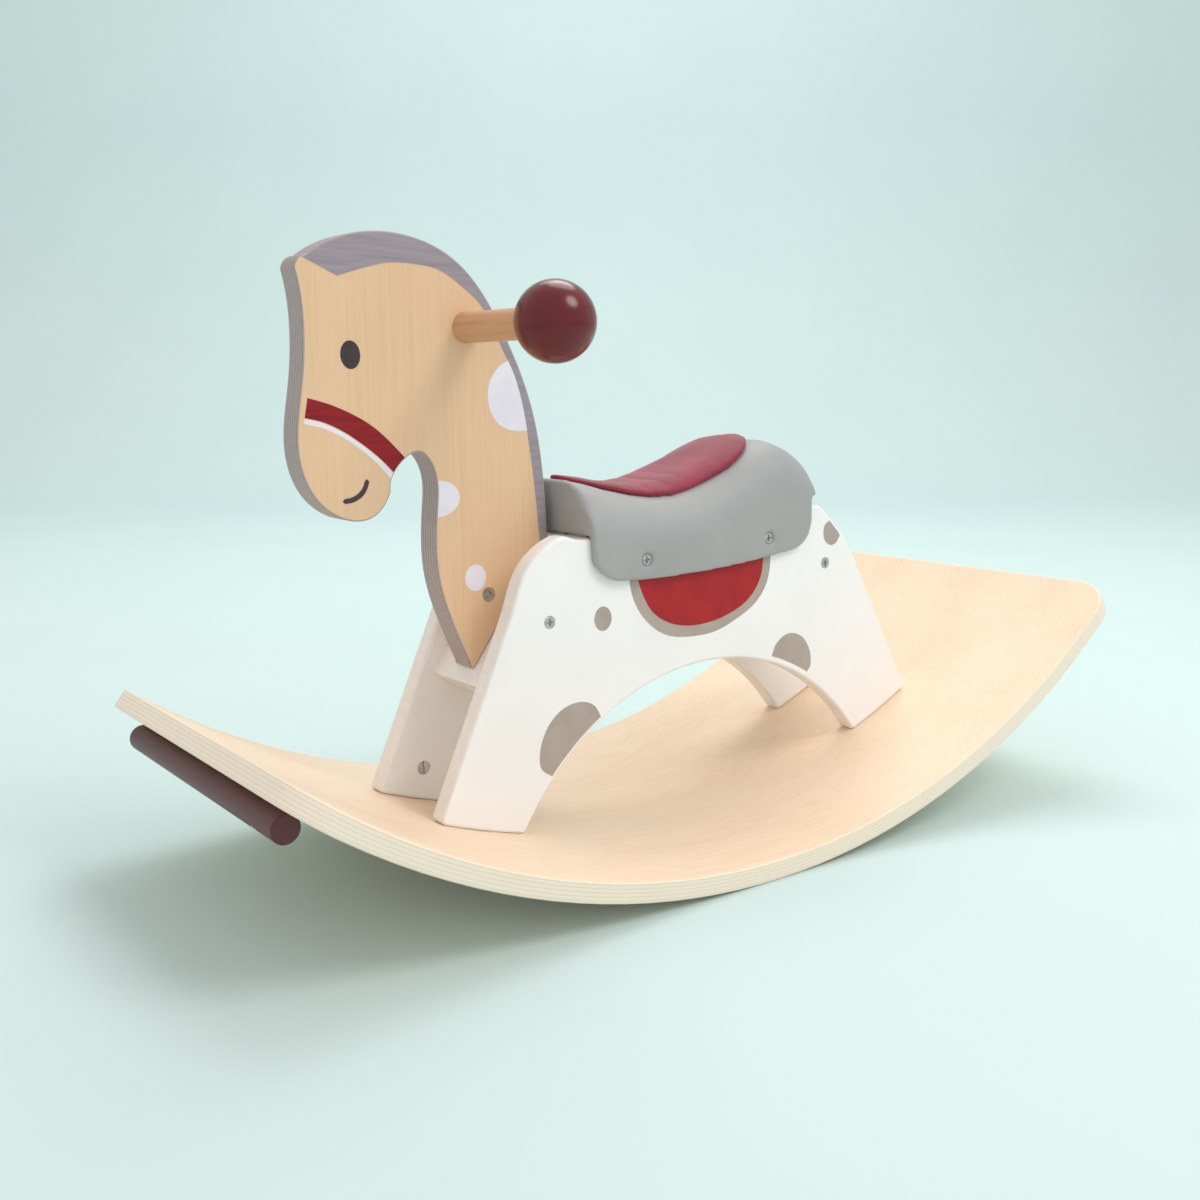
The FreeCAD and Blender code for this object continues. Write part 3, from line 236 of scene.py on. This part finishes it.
def board_birch():
    """Bent board: veneer on its two faces, layers that follow the bend on every edge."""
    shader = Shader("bent_birch_ply", 0.48, Specular_IOR_Level=0.42)
    centre = (0.0, 0.0, ROCKER_RADIUS)
    spoke = shader.vector("MULTIPLY", shader.vector("SUBTRACT", shader.place, centre), (1.0, 0.0, 1.0))
    depth = shader.math("SUBTRACT", ROCKER_RADIUS, shader.vector("LENGTH", spoke))
    facing = shader.vector("DOT_PRODUCT", shader.vector("NORMALIZE", spoke), shader.normal())
    on_edge = shader.math("LESS_THAN", shader.math("ABSOLUTE", facing), 0.8)
    wood, fine, pores = grain(shader, 0, srgb(251, 229, 204), srgb(246, 220, 192), srgb(236, 204, 172))
    layers = ply_layers(shader, depth, BOARD_THICKNESS / 11, srgb(246, 233, 214), srgb(230, 213, 189))
    shader.colour(shader.mix(on_edge, wood, layers))
    shader.rough(fine, 0.42, 0.6)
    shader.bump(pores, 0.1 * MM, 0.35)
    return shader.material


def head_birch():
    """Head: upright veneer on its faces, stained layers round its edge."""
    shader = Shader("head_birch_ply", 0.5, Specular_IOR_Level=0.4)
    parts = shader.node("ShaderNodeSeparateXYZ", Vector=shader.place).outputs
    side = shader.node("ShaderNodeSeparateXYZ", Vector=shader.normal()).outputs["Y"]
    on_edge = shader.math("LESS_THAN", shader.math("ABSOLUTE", side), 0.985)
    wood, fine, pores = grain(shader, 2, srgb(236, 202, 166), srgb(231, 195, 157), srgb(223, 184, 144))
    layers = ply_layers(shader, parts["Y"], 1.6 * MM, srgb(176, 163, 160), srgb(128, 114, 114))
    shader.colour(shader.mix(on_edge, wood, layers))
    shader.rough(fine, 0.42, 0.62)
    shader.bump(pores, 0.1 * MM, 0.35)
    return shader.material


def turned_wood(name, along, pale, mid, dark):
    """Plain wood of a dowel, its grain along one axis."""
    shader = Shader(name, 0.5, Specular_IOR_Level=0.4)
    wood, fine, pores = grain(shader, along, pale, mid, dark)
    shader.colour(wood)
    shader.rough(fine, 0.4, 0.6)
    shader.bump(pores, 0.1 * MM, 0.4)
    return shader.material


def white_paint():
    """Sprayed satin paint, painted a little warmer and darker on the board's edges as painted shade."""
    shader = Shader("white_paint", 0.36, Specular_IOR_Level=0.5)
    side = shader.node("ShaderNodeSeparateXYZ", Vector=shader.normal()).outputs["Y"]
    on_edge = shader.math("LESS_THAN", shader.math("ABSOLUTE", side), 0.8)
    drift = shader.noise(9.0, 3.0)
    face = shader.ramp(drift, (0.3, srgb(243, 243, 243)), (0.7, srgb(250, 250, 249)))
    # Faces not turned sideways get a darker, warmer white: painted shade of the edges.
    edge = shader.ramp(shader.noise(150.0, 3.0), (0.3, srgb(236, 231, 226)), (0.7, srgb(242, 238, 233)))
    shader.colour(shader.mix(on_edge, face, edge))
    shader.rough(drift, 0.3, 0.44)
    shader.bump(shader.noise(700.0, 2.0), 0.03 * MM, 0.25)
    return shader.material


def print_ink(name, colour, deeper, grain_axis=None):
    """Flat printed colour, with the wood's grain faintly through it."""
    shader = Shader(name, 0.5, Specular_IOR_Level=0.35)
    if grain_axis is None:
        tone = shader.noise(60.0, 5.0)
    else:
        tone = shader.noise(28.0, 5.0, [1.0 if axis == grain_axis else 14.0 for axis in range(3)])
    shader.colour(shader.ramp(tone, (0.35, deeper), (0.6, colour)))
    shader.rough(tone, 0.42, 0.58)
    return shader.material


def red_lacquer():
    """Deep glossy lacquer over a turned ball."""
    shader = Shader("red_lacquer", 0.3, Specular_IOR_Level=0.35, Coat_Weight=0.3, Coat_Roughness=0.2)
    tone = shader.noise(9.0, 2.0)
    shader.colour(shader.ramp(tone, (0.3, srgb(98, 4, 14)), (0.7, srgb(107, 6, 17))))
    shader.rough(shader.noise(90.0, 3.0), 0.18, 0.28)
    shader.bump(shader.noise(60.0, 2.0), 0.05 * MM, 0.06)
    return shader.material


def stopper_stain():
    """Brown-red stain, satin, with the grain along the bar and raw-looking end grain."""
    shader = Shader("stopper_stain", 0.4, Specular_IOR_Level=0.45)
    wood, fine, pores = grain(shader, 1, srgb(104, 56, 58), srgb(90, 44, 48), srgb(70, 32, 38))
    shader.colour(wood)
    shader.rough(fine, 0.32, 0.5)
    shader.bump(pores, 0.1 * MM, 0.5)
    return shader.material


def saddle_plastic():
    """Grey moulded plastic with a fine spark-eroded texture."""
    shader = Shader("grey_moulding", 0.52, Specular_IOR_Level=0.42)
    drift = shader.noise(14.0, 3.0)
    shader.colour(shader.ramp(drift, (0.3, srgb(158, 160, 160)), (0.7, srgb(168, 169, 169))))
    shader.rough(shader.noise(500.0, 2.0), 0.46, 0.6)
    shader.bump(shader.noise(1600.0, 2.0), 0.05 * MM, 0.3)
    return shader.material


def pad_cover():
    """Soft matt cover: fine leathery grain, its red drifting at random up to a paler red that is painted
    light.
    """
    shader = Shader("pad_cover", 0.62, Specular_IOR_Level=0.35, Sheen_Weight=0.35, Sheen_Roughness=0.4)
    cells = shader.node("ShaderNodeTexVoronoi", Vector=shader.place, Scale=650.0).outputs["Distance"]
    drift = shader.noise(18.0, 4.0)
    # The palest red is the pad's lit colour, painted in as random patches: painted light.
    lit_red, middle, deep = srgb(164, 60, 80), srgb(148, 42, 64), srgb(128, 30, 52)
    shader.colour(shader.ramp(drift, (0.3, deep), (0.55, middle), (0.8, lit_red)))
    shader.rough(drift, 0.55, 0.72)
    shader.bump(cells, 0.12 * MM, 0.4)
    return shader.material


def steel():
    """Zinc-plated steel with fine turning marks."""
    shader = Shader("plated_steel", 0.3, Metallic=1.0)
    marks = shader.noise(300.0, 3.0, (1.0, 6.0, 1.0))
    shader.colour(shader.ramp(marks, (0.3, srgb(168, 170, 168)), (0.7, srgb(206, 207, 203))))
    shader.rough(marks, 0.22, 0.4)
    return shader.material


def floor_paper():
    """Matt backdrop paper with a barely visible tooth."""
    shader = Shader("backdrop_paper", 0.9, Specular_IOR_Level=0.1)
    shader.colour(shader.ramp(shader.noise(3.0), (0.3, srgb(206, 226, 225)), (0.7, srgb(208, 228, 227))))
    return shader.material


BOARD_BIRCH, HEAD_BIRCH, WHITE, STEEL = board_birch(), head_birch(), white_paint(), steel()
HANDLE_WOOD = turned_wood("handle_wood", 1, srgb(222, 176, 138), srgb(208, 160, 122), srgb(186, 138, 102))
DOWEL_WOOD = turned_wood("dowel_wood", 1, srgb(236, 208, 170), srgb(222, 190, 150), srgb(200, 168, 128))
LACQUER, STAIN, MOULDING, COVER = red_lacquer(), stopper_stain(), saddle_plastic(), pad_cover()
SLOT_MATERIALS = {
    "birch": BOARD_BIRCH,
    "head_birch": HEAD_BIRCH,
    "handle_wood": HANDLE_WOOD,
    "dowel_wood": DOWEL_WOOD,
    "white_paint": WHITE,
    "red_lacquer": LACQUER,
    "stopper_red": STAIN,
    "grey_plastic": MOULDING,
    "red_leather": COVER,
    "steel": STEEL,
}
INK_MANE = print_ink("mane_ink", srgb(160, 152, 160), srgb(148, 139, 148), 0)
INK_TAUPE = print_ink("taupe_ink", srgb(176, 166, 157), srgb(170, 159, 150))
INK_PALE = print_ink("pale_ink", srgb(238, 234, 244), srgb(230, 226, 238))
INK_RED = print_ink("red_ink", srgb(172, 26, 34), srgb(160, 20, 30))
INK_BRIDLE = print_ink("bridle_ink", srgb(150, 16, 28), srgb(128, 10, 22), 0)
INK_DARK = print_ink("dark_ink", srgb(72, 60, 66), srgb(62, 52, 58))


def finish_nodes():
    """Every carried-over piece takes the material of its own slot."""
    for entry in frame["record"]["subparts"]:
        mesh = nodes[entry["node"]].data
        mesh.materials.clear()
        mesh.materials.append(SLOT_MATERIALS[entry["material_slot"]])


# ---------------------------------------------------------------- prints


def new_piece(name, mesh, material):
    """Object on the horse's one body, in a material."""
    piece = bpy.data.objects.new(name, mesh)
    bpy.context.scene.collection.objects.link(piece)
    piece.data.materials.clear()
    piece.data.materials.append(material)
    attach(piece, "root")
    return piece


def mesh_from(bm, name):
    """Mesh of a bmesh, which is freed."""
    mesh = bpy.data.meshes.new(name)
    bm.to_mesh(mesh)
    bm.free()
    return mesh


def face_skin(node, side, lift):
    """Thin slab over the flat outer face of a board, holes and all, standing lift proud of it."""
    bm = bmesh.new()
    bm.from_mesh(nodes[node].data)
    bmesh.ops.remove_doubles(bm, verts=bm.verts, dist=0.01 * MM)
    outward = Vector((0, side, 0))
    kept = [face for face in bm.faces if face.normal.dot(outward) > 0.9999]
    bmesh.ops.delete(bm, geom=[face for face in bm.faces if face not in set(kept)], context="FACES")
    below = 0.3 * MM
    bmesh.ops.translate(bm, verts=bm.verts, vec=outward * -below)
    grown = bmesh.ops.extrude_face_region(bm, geom=list(bm.faces), use_keep_orig=True)
    moved = [item for item in grown["geom"] if isinstance(item, bmesh.types.BMVert)]
    bmesh.ops.translate(bm, verts=moved, vec=outward * (below + lift))
    bmesh.ops.recalc_face_normals(bm, faces=bm.faces)
    return bm


def prism(points, side, face_y):
    """Closed outline on the upright horse pulled through the board's face."""
    bm = bmesh.new()
    verts = [bm.verts.new(at_rest(x, side * (face_y - 4), z)) for x, z in points]
    face = bm.faces.new(verts)
    grown = bmesh.ops.extrude_face_region(bm, geom=[face], use_keep_orig=True)
    moved = [item for item in grown["geom"] if isinstance(item, bmesh.types.BMVert)]
    bmesh.ops.translate(bm, verts=moved, vec=Vector((0, side * 8 * MM, 0)))
    bmesh.ops.recalc_face_normals(bm, faces=bm.faces)
    return bm


def print_on(name, node, side, face_y, points, material, lift):
    """Printed shape on a board's face, cut off where the face ends."""
    skin = new_piece(name, mesh_from(face_skin(node, side, lift), name), material)
    cutter = bpy.data.objects.new(name + "_cutter", mesh_from(prism(points, side, face_y), name + "_cutter"))
    bpy.context.scene.collection.objects.link(cutter)
    boolean = skin.modifiers.new("shape", "BOOLEAN")
    boolean.operation = "INTERSECT"
    boolean.solver = "EXACT"
    boolean.object = cutter
    evaluated = skin.evaluated_get(bpy.context.evaluated_depsgraph_get())
    cut = bpy.data.meshes.new_from_object(evaluated)
    skin.modifiers.clear()
    skin.data = cut
    skin.data.materials.clear()
    skin.data.materials.append(material)
    bpy.data.objects.remove(cutter)
    return skin


MANE_EDGE = [
    (265, 423), (243, 411.5), (225, 416), (207, 419), (189, 418), (171, 414), (153, 402), (139, 388),
    (127, 363), (118, 343), (112.5, 320), (109, 289), (107, 262), (106, 235), (105, 215),
]
MANE = outline(
    [MANE_EDGE[0], MANE_EDGE[1]],
    MANE_EDGE[1:],
    [(105, 215), (80, 215)],
    [(80, 215), (80, 460)],
    [(80, 460), (275, 460)],
    [(275, 460), (265, 423)],
)
BRIDLE = outline(
    [(270, 339), (255.6, 334), (241, 327), (228.5, 319), (218, 309.5), (206, 296.2)],
    [(206, 296.2), (213.2, 285.5)],
    [(213.2, 285.5), (223.7, 297.2), (236.2, 308.1), (248.6, 317), (261, 323.4), (273, 327)],
    [(273, 327), (270, 339)],
)
BRIDLE_EDGE = outline(
    [(273.2, 326.4), (261, 322.8), (248.7, 316.3), (236.3, 307.4), (223.8, 296.5), (213.4, 284.6)],
    [(213.4, 284.6), (215.6, 281.2)],
    [(215.6, 281.2), (226.2, 294.4), (236.7, 304.1), (249, 313.2), (261.3, 319.6), (273.8, 323.4)],
    [(273.8, 323.4), (273.2, 326.4)],
)
SMILE = outline(
    [(251.0, 274.6), (246.3, 275.0), (241.6, 277.0), (238.0, 280.4), (236.2, 284.4)],
    [(236.2, 284.4), (234.4, 285.3), (233.1, 283.6)],
    [(233.1, 283.6), (235.4, 278.4), (239.4, 274.3), (245.2, 271.8), (250.9, 271.4)],
    [(250.9, 271.4), (252.5, 273), (251.0, 274.6)],
)
NECK_SPOT = outline(
    [(116.5, 355.3), (127.6, 352), (137, 343), (140.4, 332), (138.6, 320), (132, 311.4), (121, 306.8),
     (104, 306)],
    [(104, 306), (116.5, 355.3)],
)
HEAD_PRINTS = [
    ("mane", MANE, INK_MANE, 1.5 * PAINT),
    ("bridle", BRIDLE, INK_BRIDLE, PAINT),
    ("bridle_edge", BRIDLE_EDGE, INK_PALE, PAINT),
    ("eye", oval(238.8, 363.5, 6.8, 8.8), INK_DARK, PAINT),
    ("smile", SMILE, INK_DARK, PAINT),
    ("nape_spot", NECK_SPOT, INK_PALE, PAINT),
    ("chest_spot", oval(159.7, 210.5, 8.2, 9.0), INK_PALE, PAINT),
    ("throat_spot", oval(184, 267, 16.3, 12), INK_PALE, PAINT),
]

LEG_ARCH = (-4, -65)
FRONT_LEG_SPOT = outline(
    [(90.5, 106.5), (96, 115.5), (108, 120), (123, 117.5), (135.5, 107.5), (142.5, 93), (142.5, 80),
     (133.8, 72.5)],
    arc(*LEG_ARCH, 195, (133.8, 72.5), (90.5, 106.5)),
)
BELLY_SPOT = outline(
    [(-76, 119), (-80.5, 127), (-90, 132.5), (-100, 132.5), (-110.5, 126.5), (-117, 115), (-117.5, 104),
     (-114, 99.5)],
    arc(*LEG_ARCH, 197, (-114, 99.5), (-76, 119)),
)
CLOTH_BORDER = outline(
    [(61, 212), (60, 201), (56, 183), (46, 167), (30, 154.5), (10, 149), (-17, 148), (-40, 154), (-58, 162),
     (-69, 172), (-75, 184), (-77, 198), (-78, 212)],
    [(-78, 212), (61, 212)],
)
CLOTH = outline(
    [(53, 212), (52, 199), (47, 184), (39, 171.5), (25, 162), (8, 157), (-11, 156), (-30, 158.5),
     (-48, 164.5), (-60, 173.5), (-67, 185), (-69.5, 199), (-70, 212)],
    [(-70, 212), (53, 212)],
)
REAR_SPOT = outline(
    [(-142, 216), (-136.5, 213), (-134.8, 207), (-136.5, 200.5), (-142, 196.5), (-148.5, 197.5), (-153, 203)],
    [(-153, 203), (-147.5, 211), (-142, 216)],
)
PANEL_PRINTS = [
    ("shoulder_spot", oval(84, 175, 7.4, 8.6), INK_TAUPE, PAINT),
    ("front_leg_spot", FRONT_LEG_SPOT, INK_TAUPE, PAINT),
    ("belly_spot", BELLY_SPOT, INK_TAUPE, PAINT),
    ("rump_spot", REAR_SPOT, INK_TAUPE, PAINT),
    ("cloth_border", CLOTH_BORDER, INK_TAUPE, PAINT),
    ("cloth", CLOTH, INK_RED, 1.8 * PAINT),
]


def add_prints():
    """The same prints on both sides of the head and on both panels."""
    head_face = 1000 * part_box("head_panel")[1].y
    panel_face = 1000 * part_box("left_side_panel")[1].y
    for side, word in ((1, "left"), (-1, "right")):
        for name, points, ink, lift in HEAD_PRINTS:
            print_on(f"{word}_{name}", "head_panel", side, head_face, points, ink, lift)
        for name, points, ink, lift in PANEL_PRINTS:
            node = f"{word}_side_panel"
            print_on(f"{word}_{name}", node, side, panel_face, points, ink, lift)


# ---------------------------------------------------------------- saddle and pad


SHELL_VOXEL, SHELL_SMOOTHING = 1.2 * MM, 24
PAD_VOXEL, PAD_SMOOTHING, PAD_SOFTENING = 1.3 * MM, 8, 16
CORNER_REACH = 22 * MM  # how far back and up the shell's front corners are rounded
CORNER_PULL = 11 * MM  # how far a corner moves in
CORNER_DROP = 2.5 * MM  # how far a corner moves down
SWELL_STEPS = 20
SWELL_PRESSURE = 4.0
SWELL_TRAVEL = 1.6 * MM  # the furthest that the cloth may move out


def remeshed_copy(node, name, voxel, smoothing):
    """Even, soft-edged copy of a piece, applied to a mesh of its own."""
    copy = bpy.data.objects.new(name, nodes[node].data.copy())
    bpy.context.scene.collection.objects.link(copy)
    remesh = copy.modifiers.new("even", "REMESH")
    remesh.mode = "VOXEL"
    remesh.voxel_size = voxel
    smooth = copy.modifiers.new("soft", "SMOOTH")
    smooth.factor = 0.5
    smooth.iterations = smoothing
    applied(copy)
    return copy


def applied(piece):
    """Bakes a piece's modifiers into its mesh and shades it smooth."""
    evaluated = piece.evaluated_get(bpy.context.evaluated_depsgraph_get())
    mesh = bpy.data.meshes.new_from_object(evaluated)
    piece.modifiers.clear()
    piece.data = mesh
    piece.data.polygons.foreach_set("use_smooth", [True] * len(mesh.polygons))


def stand_in(piece, node, material):
    """Dresses a piece and lets it take the place of a node."""
    piece.data.materials.clear()
    piece.data.materials.append(material)
    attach(piece, "root")
    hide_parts(node)


def moulded_saddle():
    """The shell with the soft edges of a moulding and its front corners rounded in plan."""
    shell = remeshed_copy("saddle_shell", "saddle_moulding", SHELL_VOXEL, SHELL_SMOOTHING)
    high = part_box("saddle_shell")[1]
    rim = at_rest(92, 0, 236).z  # lower edge of the front wall
    for vertex in shell.data.vertices:
        place = vertex.co
        ahead = min(1, max(0, (place.x - (high.x - CORNER_REACH)) / CORNER_REACH))
        above = min(1, max(0, (place.z - rim) / CORNER_REACH)) ** 1.5
        pull = above * ahead**2.4 * CORNER_PULL
        outer = min(1, abs(place.y) / high.y)
        place.y -= math.copysign(pull * outer**3, place.y)
        place.z -= above * ahead**3 * CORNER_DROP
    stand_in(shell, "saddle_shell", MOULDING)


def inflated(piece, pressure, travel):
    """Cloth under a little pressure; no point moves further than travel."""
    start = [vertex.co.copy() for vertex in piece.data.vertices]
    cloth = piece.modifiers.new("cloth", "CLOTH")
    cloth.settings.use_pressure = True
    cloth.settings.uniform_pressure_force = pressure
    cloth.settings.effector_weights.gravity = 0
    cloth.settings.tension_stiffness = 20
    cloth.point_cache.frame_start = 1
    cloth.point_cache.frame_end = SWELL_STEPS
    for step in range(1, SWELL_STEPS + 1):
        bpy.context.scene.frame_set(step)
    evaluated = piece.evaluated_get(bpy.context.evaluated_depsgraph_get())
    swollen = [vertex.co.copy() for vertex in evaluated.data.vertices]
    piece.modifiers.clear()
    bpy.context.scene.frame_set(1)
    for vertex, old, new in zip(piece.data.vertices, start, swollen):
        move = new - old
        if move.length > travel:
            move *= travel / move.length
        vertex.co = old + move


def seat_pad():
    """Soft cushion that follows the seat, swollen so that its rim rolls over."""
    pad = remeshed_copy("saddle_pad", "seat_cushion", PAD_VOXEL, PAD_SMOOTHING)
    inflated(pad, SWELL_PRESSURE, SWELL_TRAVEL)
    smooth = pad.modifiers.new("soft", "SMOOTH")
    smooth.factor = 0.5
    smooth.iterations = PAD_SOFTENING
    finer = pad.modifiers.new("finer", "SUBSURF")
    finer.levels = 1
    finer.render_levels = 1
    applied(pad)
    stand_in(pad, "saddle_pad", COVER)


# ---------------------------------------------------------------- studio

CAMERA_PLACE = (0.60358, 0.7735, 0.33382)
CAMERA_YAW = math.radians(-126.698)
CAMERA_PITCH = math.radians(-9.4137)
CAMERA_ROLL = math.radians(0.4067)
LENS = 39.66
SENSOR = 36


def backdrop():
    """Floor that sweeps up behind the horse, square to the camera."""
    bm = bmesh.new()
    bend, rise, near, far, half = 1.2, 4.0, 3.0, 2.6, 6.0
    profile = [(-near, 0.0), (far, 0.0)]
    for degrees in range(9, 91, 9):
        turn = math.radians(degrees)
        profile.append((far + bend * math.sin(turn), bend * (1 - math.cos(turn))))
    profile.append((far + bend, rise))
    forward = Vector((math.cos(CAMERA_YAW), math.sin(CAMERA_YAW), 0))
    sideways = Vector((-forward.y, forward.x, 0))
    rows = [
        [bm.verts.new(forward * out + sideways * across + Vector((0, 0, up))) for across in (-half, half)]
        for out, up in profile
    ]
    for low, high in zip(rows, rows[1:]):
        bm.faces.new((low[0], low[1], high[1], high[0])).smooth = True
    floor = bpy.data.objects.new("studio_floor", mesh_from(bm, "studio_floor"))
    floor.data.materials.append(floor_paper())
    bpy.context.scene.collection.objects.link(floor)


def soft_light(name, place, target, wide, power, colour):
    """Round lamp that faces a target."""
    light = bpy.data.lights.new(name, "AREA")
    light.shape = "DISK"
    light.size = wide
    light.energy = power
    light.color = colour
    holder = bpy.data.objects.new(name, light)
    holder.location = place
    holder.rotation_euler = (Vector(target) - Vector(place)).to_track_quat("-Z", "Y").to_euler()
    bpy.context.scene.collection.objects.link(holder)


def camera():
    data = bpy.data.cameras.new("view_camera")
    data.lens = LENS
    data.sensor_width = SENSOR
    data.clip_start = 0.01
    holder = bpy.data.objects.new("view_camera", data)
    holder.location = CAMERA_PLACE
    forward = Vector((
        math.cos(CAMERA_PITCH) * math.cos(CAMERA_YAW),
        math.cos(CAMERA_PITCH) * math.sin(CAMERA_YAW),
        math.sin(CAMERA_PITCH),
    ))
    level = forward.to_track_quat("-Z", "Y").to_matrix()
    rolled = level @ Matrix.Rotation(-CAMERA_ROLL, 3, "Z")
    holder.rotation_euler = rolled.to_euler()
    bpy.context.scene.collection.objects.link(holder)
    bpy.context.scene.camera = holder


def studio():
    backdrop()
    world = bpy.data.worlds.new("studio_air")
    bpy.context.scene.world = world
    world.use_nodes = True
    air = world.node_tree.nodes["Background"]
    air.inputs["Color"].default_value = (*srgb(255, 252, 250), 1)
    air.inputs["Strength"].default_value = 0.8
    horse = (0, 0, 0.2)
    paper = (-1.7, -2.3, 0.6)
    warm, plain = (1.0, 0.985, 0.97), (1, 1, 1)
    soft_light("key_light", (-0.6, 1.4, 1.9), horse, 1.0, 15, warm)
    soft_light("top_light", (-0.7, -0.5, 2.2), horse, 1.4, 12, warm)
    soft_light("paper_light", (-1.2, -1.6, 2.6), paper, 2.0, 22, plain)


bpy.context.scene.view_settings.view_transform = "Standard"
finish_nodes()
add_prints()
moulded_saddle()
seat_pad()
studio()
camera()
bpy.context.view_layer.update()
